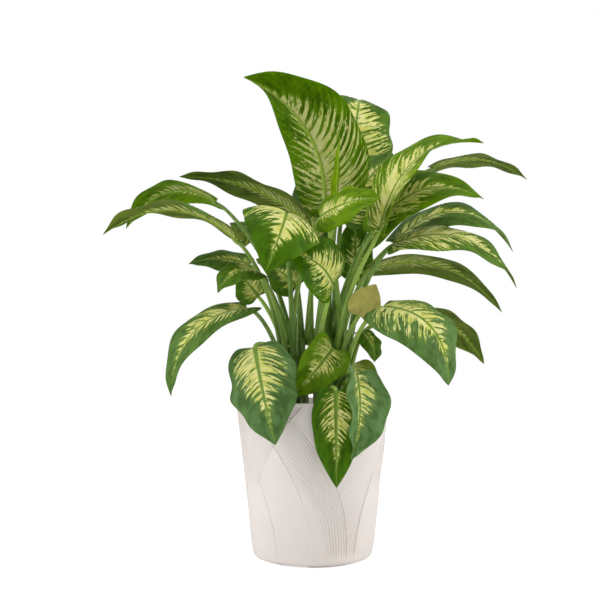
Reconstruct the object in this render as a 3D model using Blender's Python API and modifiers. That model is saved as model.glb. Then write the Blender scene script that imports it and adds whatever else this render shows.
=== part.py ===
"""A potted dieffenbachia: an embossed white planter with a black nursery pot standing in it, potting soil,
five canes and the leaves that grow on them. Each leaf is one solid from the foot of its stalk to its tip."""

import math

import bmesh
import bpy
import numpy as np

# Planter, metres.
POT_HEIGHT = 0.234
POT_TOP_RADIUS = 0.1175
POT_BASE_RADIUS = 0.0895
POT_WALL = 0.003
POT_FLOOR = 0.004
POT_EDGE = 0.007  # rounding where the side turns under
POT_STEPS = 48
FOOT_HEIGHT = 0.003
FOOT_INNER_RADIUS = 0.066
FOOT_OUTER_RADIUS = 0.076
FOOT_PAD_RADIUS = 0.012  # the middle of the base stands on the floor too
FOOT_GAP_WIDTH = 0.034
FOOT_GAP_LENGTH = 0.020
FOOT_GAP_ANGLES = (-110.0, 10.0, 130.0)
FOOT_STEP = 0.0002  # what is left of the foot ring in a gap

# Nursery pot, standing on the planter's floor.
NURSERY_TOP_RADIUS = 0.106
NURSERY_BASE_RADIUS = 0.080
NURSERY_RIM_Z = 0.224
NURSERY_LIP = 0.003
NURSERY_LIP_HEIGHT = 0.009
NURSERY_WALL = 0.0012
NURSERY_STEPS = 40

# Soil.
SOIL_TOP_Z = 0.207
SOIL_CROWN = 0.004  # how much higher the middle stands than the edge
SOIL_STEPS = 40
SOIL_HOLE_SIDES = 12
TOUCH_GAP = 0.0003

# Canes: where each leaves the soil, and its top.
CANE_RADIUS = 0.0085
CANE_BURIED = 0.030
CANE_SIDES = 12
CANES = {
    "left": ((-0.024, -0.012), (-0.034, -0.014, 0.315)),
    "front": ((0.010, -0.022), (0.007, -0.024, 0.320)),
    "right": ((0.036, -0.006), (0.044, -0.006, 0.315)),
    "back_left": ((-0.012, 0.028), (-0.020, 0.036, 0.330)),
    "back_right": ((0.026, 0.030), (0.032, 0.040, 0.330)),
}

# Leaves. The blade's outline is given as a share of its length and half width.
STALK_FOOT_RADIUS = 0.0042
STALK_END_RADIUS = 0.0028
STALK_GAP = 0.0006  # between the stalk's foot and its cane
STALK_LEAN = 0.20  # how soon a stalk turns from its cane to its blade
STALK_TURN = 0.09  # length over which it turns into the midrib, as a share of its reach
BLADE_THICKNESS = 0.0010
LOBE = 0.10  # how far the lobes reach behind the stalk
LOBE_AT = 0.07
ROUND_BASE = 0.50  # powers of the outline at the base and at the tip
ROUND_TIP = 1.0
VEIN_SWEEP = 1.35  # how far the side veins lean towards the tip
VEIN_BOW = 1.5
CURL_STEPS = 6
MIDRIB_STEPS = 60
STALK_RINGS = 5
BLADE_STATIONS = (0.03, 0.11, 0.23, 0.38, 0.54, 0.70, 0.85, 0.95)
TIP_STATION = 0.999
RING_POINTS = 8

COLUMNS = "cane azimuth height bend base tip arch width face fold curl twist".split()
# cane and angle round it (None grows from the top), height of the stalk's foot, how straight up the stalk sets off,
# base and tip of the blade, how far the midrib arches, width, where the upper side looks (azimuth, elevation),
# fold of the halves about the midrib, curl of the margins, twist from base to tip (degrees)
LEAVES = {
    "crown": ("right", None, 0.318, 0.50, (0.021, 0.030, 0.556), (-0.108, -0.015, 0.738), 0.100, 0.190, (38, 15), 42, 30, -20),
    "crown_right": ("back_right", 80, 0.322, 0.50, (0.060, 0.092, 0.610), (0.087, 0.205, 0.770), 0.100, 0.150, (-80, 40), 10, 30, 0),
    "behind_right": ("back_right", 178, 0.315, 0.50, (0.045, 0.060, 0.530), (0.137, 0.085, 0.643), 0.020, 0.105, (-90, 20), 10, 20, 0),
    "behind_left": ("back_left", 25, 0.320, 0.50, (0.006, 0.108, 0.490), (-0.020, 0.125, 0.610), 0.015, 0.070, (-90, 10), 15, 20, 0),
    "lime": ("left", None, 0.318, 0.50, (0.011, -0.055, 0.508), (0.099, -0.095, 0.530), 0.020, 0.085, (-75, 35), 15, 20, 0),
    "drop": ("left", -75, 0.300, 0.55, (-0.041, -0.060, 0.512), (-0.066, -0.165, 0.412), 0.075, 0.130, (-62, 45), 10, 30, 0),
    "front": ("front", -90, 0.300, 0.50, (0.028, -0.064, 0.407), (-0.038, -0.090, 0.452), 0.040, 0.100, (-70, 20), 25, 20, 0),
    "upper_left": ("front", 130, 0.310, 0.50, (-0.011, 0.045, 0.522), (-0.217, 0.050, 0.594), 0.045, 0.088, (90, 72), 15, 20, 0),
    "long_left": ("left", 175, 0.300, 0.60, (-0.114, -0.030, 0.476), (-0.320, -0.030, 0.486), 0.086, 0.130, (180, 88), 20, 20, 0),
    "far_left": ("back_left", 155, 0.320, 0.55, (-0.155, 0.055, 0.553), (-0.308, 0.080, 0.513), 0.088, 0.100, (90, 80), 15, 20, 0),
    "side_left": ("back_left", -155, 0.285, 0.55, (-0.098, 0.030, 0.447), (-0.197, 0.030, 0.448), 0.020, 0.075, (-90, 55), 15, 20, 0),
    "low_side_left": ("left", -120, 0.295, 0.55, (-0.080, -0.045, 0.425), (-0.139, -0.080, 0.392), 0.040, 0.070, (-90, 60), 15, 20, 0),
    "ragged": ("left", 130, 0.290, 0.55, (-0.084, 0.012, 0.395), (-0.115, 0.018, 0.430), 0.010, 0.060, (-90, 20), 15, 20, 0),
    "low_left": ("left", -165, 0.262, 0.60, (-0.097, -0.050, 0.372), (-0.205, -0.080, 0.242), 0.080, 0.105, (-140, 35), 20, 20, 0),
    "heart": ("left", -110, 0.250, 0.70, (-0.083, -0.110, 0.313), (-0.052, -0.155, 0.180), 0.025, 0.112, (-100, 20), 5, 30, 0),
    "centre_fold": ("front", -60, 0.262, 0.60, (0.029, -0.050, 0.312), (-0.032, -0.095, 0.240), 0.030, 0.076, (-60, 25), 30, 0, 0),
    "hanging": ("front", -70, 0.235, 0.22, (0.031, -0.128, 0.252), (0.031, -0.135, 0.120), 0.010, 0.070, (-95, 5), 10, 20, 0),
    "rim_right": ("right", -100, 0.245, 0.22, (0.058, -0.128, 0.276), (0.049, -0.152, 0.160), 0.022, 0.096, (-42, 15), 33, 10, 0),
    "big_right": ("right", -60, 0.258, 0.60, (0.102, -0.070, 0.373), (0.192, -0.100, 0.258), 0.100, 0.115, (-70, 35), 10, 25, 0),
    "shade_right": ("back_right", -20, 0.270, 0.60, (0.150, 0.000, 0.368), (0.265, 0.000, 0.289), 0.050, 0.090, (60, 60), 10, 20, 0),
    "low_right": ("right", 30, 0.300, 0.60, (0.092, 0.018, 0.438), (0.297, 0.010, 0.369), 0.086, 0.085, (90, 75), 15, 20, 0),
    "bright_right": ("right", -35, 0.305, 0.60, (0.127, -0.028, 0.473), (0.310, -0.030, 0.404), 0.090, 0.108, (-90, 62), 15, 20, 0),
    "arch_right": ("back_right", 0, 0.310, 0.60, (0.134, 0.075, 0.488), (0.333, 0.075, 0.474), 0.125, 0.118, (-90, 60), 15, 20, 0),
    "rise_right": ("back_right", -45, 0.318, 0.60, (0.094, 0.005, 0.492), (0.267, -0.010, 0.545), 0.102, 0.112, (-105, 45), 15, 10, 0),
    "tall_right": ("right", -120, 0.310, 0.55, (0.103, -0.045, 0.494), (0.267, -0.020, 0.631), 0.100, 0.100, (-135, 50), 25, 10, 0),
    "far_right": ("back_right", None, 0.330, 0.55, (0.201, 0.090, 0.618), (0.360, 0.080, 0.596), 0.050, 0.080, (90, 88), 5, 10, 0),
    "old_yellow": ("right", -85, 0.285, 0.60, (0.070, -0.035, 0.362), (0.096, -0.035, 0.410), 0.006, 0.050, (-90, 15), 10, 10, 0),
    "curled": ("right", 0, 0.250, 0.35, (0.079, -0.006, 0.338), (0.094, -0.016, 0.292), 0.020, 0.045, (-60, 30), 30, 40, 0),
    "inner_right": ("back_right", 40, 0.300, 0.50, (0.072, 0.080, 0.435), (0.074, 0.098, 0.540), 0.010, 0.062, (-90, 10), 15, 20, 0),
    "inner_left": ("back_left", -100, 0.300, 0.50, (-0.025, 0.030, 0.412), (-0.072, 0.035, 0.447), 0.015, 0.070, (-90, 35), 15, 20, 0),
    "inner_mid": ("front", 90, 0.300, 0.50, (0.018, 0.004, 0.400), (0.024, 0.008, 0.465), 0.010, 0.028, (-90, 10), 15, 20, 0),
    "spear": ("front", None, 0.320, 0.50, (0.037, -0.004, 0.520), (0.043, -0.016, 0.640), 0.004, 0.034, (100, 5), 68, 0, 0),
    "rear": ("back_left", 75, 0.318, 0.60, (-0.030, 0.120, 0.455), (-0.055, 0.265, 0.420), 0.070, 0.120, (90, 70), 15, 20, 0),
    "rear_right": ("back_right", 72, 0.255, 0.35, (0.065, 0.120, 0.440), (0.095, 0.270, 0.430), 0.070, 0.115, (90, 70), 15, 20, 0),
    "rear_left": ("back_left", 115, 0.325, 0.60, (-0.065, 0.090, 0.500), (-0.120, 0.230, 0.505), 0.060, 0.115, (110, 70), 15, 20, 0),
    "rear_high": ("back_right", 120, 0.325, 0.55, (0.045, 0.125, 0.560), (0.055, 0.265, 0.600), 0.070, 0.120, (90, 70), 15, 20, 0),
    "rear_mid": ("back_right", 110, 0.262, 0.60, (0.030, 0.125, 0.340), (0.030, 0.260, 0.290), 0.060, 0.105, (90, 60), 15, 20, 0),
    "rear_rim_right": ("back_right", 15, 0.245, 0.60, (0.070, 0.140, 0.290), (0.085, 0.170, 0.160), 0.030, 0.100, (80, 20), 15, 25, 0),
    "rear_rim_left": ("back_left", 120, 0.250, 0.60, (-0.055, 0.140, 0.285), (-0.075, 0.165, 0.150), 0.030, 0.105, (100, 20), 15, 25, 0),
}

COLOURS = {
    "planter": (0.84, 0.80, 0.78, 1.0),
    "nursery_pot": (0.012, 0.012, 0.013, 1.0),
    "soil": (0.045, 0.028, 0.018, 1.0),
    "cane": (0.16, 0.24, 0.05, 1.0),
    "leaf": (0.06, 0.16, 0.03, 1.0),
    "old_leaf": (0.45, 0.40, 0.10, 1.0),
}


def clear_scene():
    for obj in list(bpy.data.objects):
        bpy.data.objects.remove(obj, do_unlink=True)


def new_collection(name):
    collection = bpy.data.collections.new(name)
    bpy.context.scene.collection.children.link(collection)
    return collection


def new_material(name, colour, roughness):
    material = bpy.data.materials.new(name)
    material.use_nodes = True
    shader = material.node_tree.nodes["Principled BSDF"]
    shader.inputs["Base Color"].default_value = colour
    shader.inputs["Roughness"].default_value = roughness
    shader.inputs["Metallic"].default_value = 0.0
    return material


def add_mesh(collection, name, points, faces, material):
    mesh = bpy.data.meshes.new(name)
    mesh.from_pydata([tuple(point) for point in points], [], faces)
    obj = bpy.data.objects.new(name, mesh)
    collection.objects.link(obj)
    if material is not None:
        mesh.materials.append(material)
    return obj


def add_turned(collection, name, profile, steps, material):
    """A solid turned about Z from a profile that runs down the outside and back up the inside."""
    edges = [(i, i + 1) for i in range(len(profile) - 1)]
    mesh = bpy.data.meshes.new(name)
    mesh.from_pydata([(radius, 0.0, z) for radius, z in profile], edges, [])
    obj = bpy.data.objects.new(name, mesh)
    collection.objects.link(obj)
    mesh.materials.append(material)
    screw = obj.modifiers.new("turn", "SCREW")
    screw.axis = "Z"
    screw.steps = steps
    screw.render_steps = steps
    screw.use_merge_vertices = True
    screw.merge_threshold = 0.0001
    return obj


def cut(obj, cutter, name):
    boolean = obj.modifiers.new(name, "BOOLEAN")
    boolean.operation = "DIFFERENCE"
    boolean.solver = "EXACT"
    boolean.object = cutter


def hide_cutter(obj):
    obj.hide_render = True
    obj.display_type = "WIRE"


def arc(centre, radius, start, end, steps):
    """Points of a circular arc in the profile's plane, angles in degrees."""
    angles = np.radians(np.linspace(start, end, steps + 1))
    return [(centre[0] + radius * math.cos(a), centre[1] + radius * math.sin(a)) for a in angles]


def planter_radius(z):
    return POT_BASE_RADIUS + (POT_TOP_RADIUS - POT_BASE_RADIUS) * z / POT_HEIGHT


def nursery_radius(z):
    floor = POT_FLOOR + FOOT_HEIGHT
    share = (z - floor) / (NURSERY_RIM_Z - floor)
    return NURSERY_BASE_RADIUS + (NURSERY_TOP_RADIUS - NURSERY_BASE_RADIUS) * share


def build_planter(collection, cutters, material):
    inner_floor = FOOT_HEIGHT + POT_FLOOR
    edge_centre = (planter_radius(FOOT_HEIGHT + POT_EDGE) - POT_EDGE, FOOT_HEIGHT + POT_EDGE)
    rim_centre = (POT_TOP_RADIUS - POT_WALL / 2, POT_HEIGHT - POT_WALL / 2)
    profile = [(0.0, 0.0), (FOOT_PAD_RADIUS, 0.0), (FOOT_PAD_RADIUS, FOOT_HEIGHT)]
    profile += [(FOOT_INNER_RADIUS, FOOT_HEIGHT), (FOOT_INNER_RADIUS, 0.0)]
    profile += [(FOOT_OUTER_RADIUS, 0.0), (FOOT_OUTER_RADIUS, FOOT_HEIGHT)]
    profile += arc(edge_centre, POT_EDGE, -90.0, 0.0, 4)
    profile += arc(rim_centre, POT_WALL / 2, 0.0, 180.0, 4)
    profile += [(planter_radius(inner_floor) - POT_WALL, inner_floor), (0.0, inner_floor)]
    planter = add_turned(collection, "planter", profile[::-1], POT_STEPS, material)
    size = (FOOT_GAP_LENGTH, FOOT_GAP_WIDTH, 2 * (FOOT_HEIGHT - FOOT_STEP))
    middle = (FOOT_INNER_RADIUS + FOOT_OUTER_RADIUS) / 2
    for i, angle in enumerate(FOOT_GAP_ANGLES):
        bpy.ops.mesh.primitive_cube_add(size=1.0, location=middle * direction(angle, 0.0))
        cutter = bpy.context.object
        cutter.name = f"foot_gap_{i + 1}"
        cutter.scale = size
        cutter.rotation_euler = (0.0, 0.0, math.radians(angle))
        for held in list(cutter.users_collection):
            held.objects.unlink(cutter)
        cutters.objects.link(cutter)
        hide_cutter(cutter)
        cut(planter, cutter, f"foot_gap_{i + 1}")


def build_nursery_pot(collection, material):
    floor = FOOT_HEIGHT + POT_FLOOR + TOUCH_GAP
    lip_z = NURSERY_RIM_Z - NURSERY_LIP_HEIGHT
    profile = [(0.0, floor), (nursery_radius(floor), floor), (nursery_radius(lip_z), lip_z)]
    profile += [(nursery_radius(lip_z) + NURSERY_LIP, lip_z), (NURSERY_TOP_RADIUS + NURSERY_LIP, NURSERY_RIM_Z)]
    profile += [(NURSERY_TOP_RADIUS - NURSERY_WALL, NURSERY_RIM_Z)]
    profile += [(nursery_radius(floor) - NURSERY_WALL, floor + NURSERY_WALL), (0.0, floor + NURSERY_WALL)]
    add_turned(collection, "nursery_pot", profile[::-1], NURSERY_STEPS, material)


def cane_point(name, z):
    (foot_x, foot_y), (top_x, top_y, top_z) = CANES[name]
    share = (z - SOIL_TOP_Z) / (top_z - SOIL_TOP_Z)
    return np.array([foot_x + (top_x - foot_x) * share, foot_y + (top_y - foot_y) * share, z])


def rod(start, end, radius, sides):
    """Points and faces of a straight rod between two points."""
    along = unit(end - start)
    side = unit(np.cross(along, [0.0, 1.0, 0.0]))
    other = np.cross(along, side)
    points = []
    for centre in (start, end):
        for i in range(sides):
            angle = 2 * math.pi * i / sides
            points.append(centre + radius * (math.cos(angle) * side + math.sin(angle) * other))
    faces = [tuple(range(sides))[::-1], tuple(range(sides, 2 * sides))]
    for i in range(sides):
        j = (i + 1) % sides
        faces.append((i, j, sides + j, sides + i))
    return points, faces


def build_soil(collection, cutters, material):
    bottom = FOOT_HEIGHT + POT_FLOOR + 2 * TOUCH_GAP + NURSERY_WALL
    inset = NURSERY_WALL + TOUCH_GAP
    edge_z = SOIL_TOP_Z - SOIL_CROWN
    profile = [(0.0, bottom), (nursery_radius(bottom) - inset - TOUCH_GAP, bottom)]
    profile += [(nursery_radius(edge_z) - inset - TOUCH_GAP, edge_z)]
    profile += [(0.6 * nursery_radius(edge_z), SOIL_TOP_Z - SOIL_CROWN / 4), (0.0, SOIL_TOP_Z)]
    soil = add_turned(collection, "soil", profile[::-1], SOIL_STEPS, material)
    for name in CANES:
        low = cane_point(name, SOIL_TOP_Z - CANE_BURIED - TOUCH_GAP)
        high = cane_point(name, SOIL_TOP_Z + CANE_BURIED)
        points, faces = rod(low, high, CANE_RADIUS + TOUCH_GAP, SOIL_HOLE_SIDES)
        cutter = add_mesh(cutters, f"hole_{name}", points, faces, None)
        hide_cutter(cutter)
        cut(soil, cutter, f"hole_{name}")


def build_canes(collection, material):
    for name, (_, top) in CANES.items():
        points, faces = rod(cane_point(name, SOIL_TOP_Z - CANE_BURIED), np.array(top), CANE_RADIUS, CANE_SIDES)
        add_mesh(collection, f"cane_{name}", points, faces, material)


def unit(vector):
    return vector / max(1e-12, float(np.linalg.norm(vector)))


def bezier(points, t):
    """The point at t on the Bezier curve with these control points."""
    while len(points) > 1:
        points = [(1 - t) * a + t * b for a, b in zip(points, points[1:])]
    return points[0]


def direction(azimuth, elevation):
    azimuth, elevation = math.radians(azimuth), math.radians(elevation)
    flat = math.cos(elevation)
    return np.array([flat * math.cos(azimuth), flat * math.sin(azimuth), math.sin(elevation)])


def carry(normal, along):
    """The normal turned as little as makes it square to this direction."""
    return unit(normal - along * float(np.dot(normal, along)))


def outline(share):
    """Half width of the blade at this share of its length, 1 at the widest."""
    widest = ROUND_BASE / (ROUND_BASE + ROUND_TIP)
    return (share / widest) ** ROUND_BASE * ((1 - share) / (1 - widest)) ** ROUND_TIP


def lobe(share):
    return LOBE * (share / LOBE_AT) * math.exp(1 - share / LOBE_AT)


class Leaf:
    """The midrib as a curve with a frame at each step, and points of the blade from it."""

    def __init__(self, row):
        for column, value in zip(COLUMNS, row):
            setattr(self, column, value)
        self.base, self.tip = np.array(self.base), np.array(self.tip)
        chord = unit(self.tip - self.base)
        up = carry(direction(*self.face), chord)
        midrib = [self.base, (self.base + self.tip) / 2 + up * self.arch, self.tip]
        steps = np.linspace(0.0, 1.0, MIDRIB_STEPS + 1)
        self.points = np.array([bezier(midrib, t) for t in steps])
        slopes = [midrib[1] - midrib[0], midrib[2] - midrib[1]]
        self.along = np.array([unit(bezier(slopes, t)) for t in steps])
        spans = np.linalg.norm(np.diff(self.points, axis=0), axis=1)
        self.run = np.concatenate([[0.0], np.cumsum(spans)])
        self.length = float(self.run[-1])
        middle = MIDRIB_STEPS // 2
        normals = np.zeros_like(self.points)
        normals[middle] = carry(up, self.along[middle])
        for i in range(middle + 1, MIDRIB_STEPS + 1):
            normals[i] = carry(normals[i - 1], self.along[i])
        for i in range(middle - 1, -1, -1):
            normals[i] = carry(normals[i + 1], self.along[i])
        sides = np.cross(self.along, normals)
        turn = np.radians(self.twist) * (self.run / self.length - 0.5)[:, None]
        self.normals = normals * np.cos(turn) + sides * np.sin(turn)
        self.sides = sides * np.cos(turn) - normals * np.sin(turn)

    def foot(self):
        centre = cane_point(self.cane, self.height)
        if self.azimuth is None:
            return centre + np.array([0.0, 0.0, STALK_GAP])
        return centre + (CANE_RADIUS + STALK_FOOT_RADIUS + STALK_GAP) * direction(self.azimuth, 0.0)

    def at(self, reach):
        """Position, normal and side direction this far along the midrib, straight on behind its start."""
        if reach < 0:
            return self.points[0] + self.along[0] * reach, self.normals[0], self.sides[0]
        found = []
        for values in (self.points, self.normals, self.sides):
            found.append(np.array([np.interp(reach, self.run, values[:, k]) for k in range(3)]))
        return found[0], unit(found[1]), unit(found[2])

    def blade_point(self, share, across, lift):
        """A point of the blade: share of the length, -1 to 1 across it, and height above its middle layer."""
        out = abs(across) * self.width / 2 * outline(share)
        start = self.length * share**VEIN_SWEEP
        end = self.length * (share - lobe(share))
        centre, normal, side = self.at(start + (end - start) * abs(across) ** VEIN_BOW)
        level = rise = 0.0
        for i in range(CURL_STEPS):
            along_vein = (i + 0.5) / CURL_STEPS * out
            angle = math.radians(self.fold - self.curl * 4 * along_vein / self.width)
            level += out / CURL_STEPS * math.cos(angle)
            rise += out / CURL_STEPS * math.sin(angle)
        return centre + side * math.copysign(level, across) + normal * (rise + lift)

    def rings(self):
        """Rings of points from the stalk's foot to the last station of the blade."""
        foot = self.foot()
        reach = float(np.linalg.norm(self.base - foot))
        lean = (self.base - foot) * np.array([STALK_LEAN, STALK_LEAN, 0.0])
        rise = np.array([0.0, 0.0, self.bend * reach])
        stalk = [foot, foot + lean + rise, self.base - self.along[0] * STALK_TURN * reach, self.base]
        slopes = [b - a for a, b in zip(stalk, stalk[1:])]
        found = []
        normal = self.normals[0]
        for i in range(STALK_RINGS, -1, -1):
            t = i / STALK_RINGS
            along = unit(bezier(slopes, t))
            normal = carry(normal, along)
            side = np.cross(along, normal)
            radius = STALK_FOOT_RADIUS + (STALK_END_RADIUS - STALK_FOOT_RADIUS) * t
            ring = []
            for k in range(RING_POINTS):
                angle = 2 * math.pi * k / RING_POINTS
                ring.append(bezier(stalk, t) + radius * (math.cos(angle) * side + math.sin(angle) * normal))
            found.append(ring)
        found.reverse()
        half = BLADE_THICKNESS / 2
        for share in BLADE_STATIONS:
            rib = STALK_END_RADIUS * (1 - share) ** 0.6 + half
            ring = [self.blade_point(share, 1.0, 0.0), self.blade_point(share, 0.5, half)]
            ring += [self.blade_point(share, 0.0, half), self.blade_point(share, -0.5, half)]
            ring += [self.blade_point(share, -1.0, 0.0), self.blade_point(share, -0.5, -half)]
            ring += [self.blade_point(share, 0.0, -rib), self.blade_point(share, 0.5, -half)]
            found.append(ring)
        return found


def build_leaf(collection, name, row, material):
    leaf = Leaf(row)
    rings = leaf.rings()
    points = [point for ring in rings for point in ring]
    faces = [tuple(range(RING_POINTS))[::-1]]
    for i in range(len(rings) - 1):
        low = i * RING_POINTS
        for k in range(RING_POINTS):
            j = (k + 1) % RING_POINTS
            faces.append((low + k, low + j, low + RING_POINTS + j, low + RING_POINTS + k))
    last = (len(rings) - 1) * RING_POINTS
    points.append(leaf.blade_point(TIP_STATION, 0.0, 0.0))
    for k in range(RING_POINTS):
        faces.append((last + k, last + (k + 1) % RING_POINTS, len(points) - 1))
    obj = add_mesh(collection, name, points, faces, material)
    shape = bmesh.new()
    shape.from_mesh(obj.data)
    bmesh.ops.triangulate(shape, faces=shape.faces[:])
    bmesh.ops.recalc_face_normals(shape, faces=shape.faces[:])
    shape.to_mesh(obj.data)
    shape.free()


def main():
    clear_scene()
    collection = new_collection("potted_dieffenbachia")
    cutters = new_collection("cutters")
    cutters.hide_render = True
    materials = {name: new_material(name, colour, 0.5) for name, colour in COLOURS.items()}
    build_planter(collection, cutters, materials["planter"])
    build_nursery_pot(collection, materials["nursery_pot"])
    build_soil(collection, cutters, materials["soil"])
    build_canes(collection, materials["cane"])
    for name, row in LEAVES.items():
        material = materials["old_leaf" if name == "old_yellow" else "leaf"]
        build_leaf(collection, f"leaf_{name}", row, material)


main()
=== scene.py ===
"""Potted dieffenbachia: the finished look of the planter, soil, canes and every leaf, and the studio round it.

Everything is in metres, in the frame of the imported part: +Z up, the middle of the planter's base at the origin.
"""

import functools
import math

import bmesh
import bpy
import numpy as np
from bpy.props import FloatProperty, FloatVectorProperty, IntProperty, PointerProperty
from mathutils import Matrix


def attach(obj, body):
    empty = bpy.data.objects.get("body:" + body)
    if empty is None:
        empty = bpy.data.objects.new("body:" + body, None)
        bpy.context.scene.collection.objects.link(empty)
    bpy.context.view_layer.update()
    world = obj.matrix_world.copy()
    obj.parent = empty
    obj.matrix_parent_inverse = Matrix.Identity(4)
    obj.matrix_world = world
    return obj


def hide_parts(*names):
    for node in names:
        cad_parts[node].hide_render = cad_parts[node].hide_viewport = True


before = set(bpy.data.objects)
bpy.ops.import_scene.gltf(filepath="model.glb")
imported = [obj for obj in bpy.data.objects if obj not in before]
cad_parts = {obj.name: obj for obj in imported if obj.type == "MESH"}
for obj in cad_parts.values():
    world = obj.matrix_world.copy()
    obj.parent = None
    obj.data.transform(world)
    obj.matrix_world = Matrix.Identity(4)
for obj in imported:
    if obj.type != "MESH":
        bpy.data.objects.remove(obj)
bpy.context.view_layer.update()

bl_info = {
    "name": "Potted dieffenbachia",
    "version": (1, 0, 0),
    "blender": (4, 5, 0),
    "location": "View3D > Sidebar > Plant",
    "description": "Builds a variegated dieffenbachia in an embossed planter",
    "category": "Add Mesh",
}

# ---- sizes, as in the part

POT_HEIGHT = 0.234
POT_TOP_RADIUS = 0.1175
POT_BASE_RADIUS = 0.0895
POT_WALL = 0.003
POT_FLOOR = 0.004
POT_EDGE = 0.007
FOOT_HEIGHT = 0.003
FOOT_SUNK = 0.001  # how far a foot runs on into the base
FOOT_PAD_RADIUS = 0.012
FOOT_INNER_RADIUS = 0.066
FOOT_OUTER_RADIUS = 0.076
FOOT_GAP_ANGLES = (-110.0, 10.0, 130.0)
FOOT_GAP_WIDTH = 0.034
NURSERY_TOP_RADIUS = 0.106
NURSERY_BASE_RADIUS = 0.080
NURSERY_RIM_Z = 0.224
NURSERY_LIP = 0.003
NURSERY_LIP_HEIGHT = 0.009
NURSERY_WALL = 0.0012
GAP = 0.0003  # between a piece and the one it stands in
SOIL_TOP_Z = 0.207
SOIL_CROWN = 0.004
CANE_RADIUS = 0.0085
CANE_BURIED = 0.030
CANES = {
    "left": ((-0.024, -0.012), (-0.034, -0.014, 0.315)),
    "front": ((0.010, -0.022), (0.007, -0.024, 0.320)),
    "right": ((0.036, -0.006), (0.044, -0.006, 0.315)),
    "back_left": ((-0.012, 0.028), (-0.020, 0.036, 0.330)),
    "back_right": ((0.026, 0.030), (0.032, 0.040, 0.330)),
}

STALK_FOOT_RADIUS = 0.0042
STALK_END_RADIUS = 0.0028
STALK_GAP = 0.0006
STALK_LEAN = 0.20
STALK_TURN = 0.09
LOBE = 0.10
LOBE_AT = 0.07
ROUND_BASE = 0.50
ROUND_TIP = 1.0
VEIN_SWEEP = 1.35
VEIN_BOW = 1.5
MIDRIB_STEPS = 60

COLUMNS = "cane azimuth height bend base tip arch width face fold curl twist tone cream".split()
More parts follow.
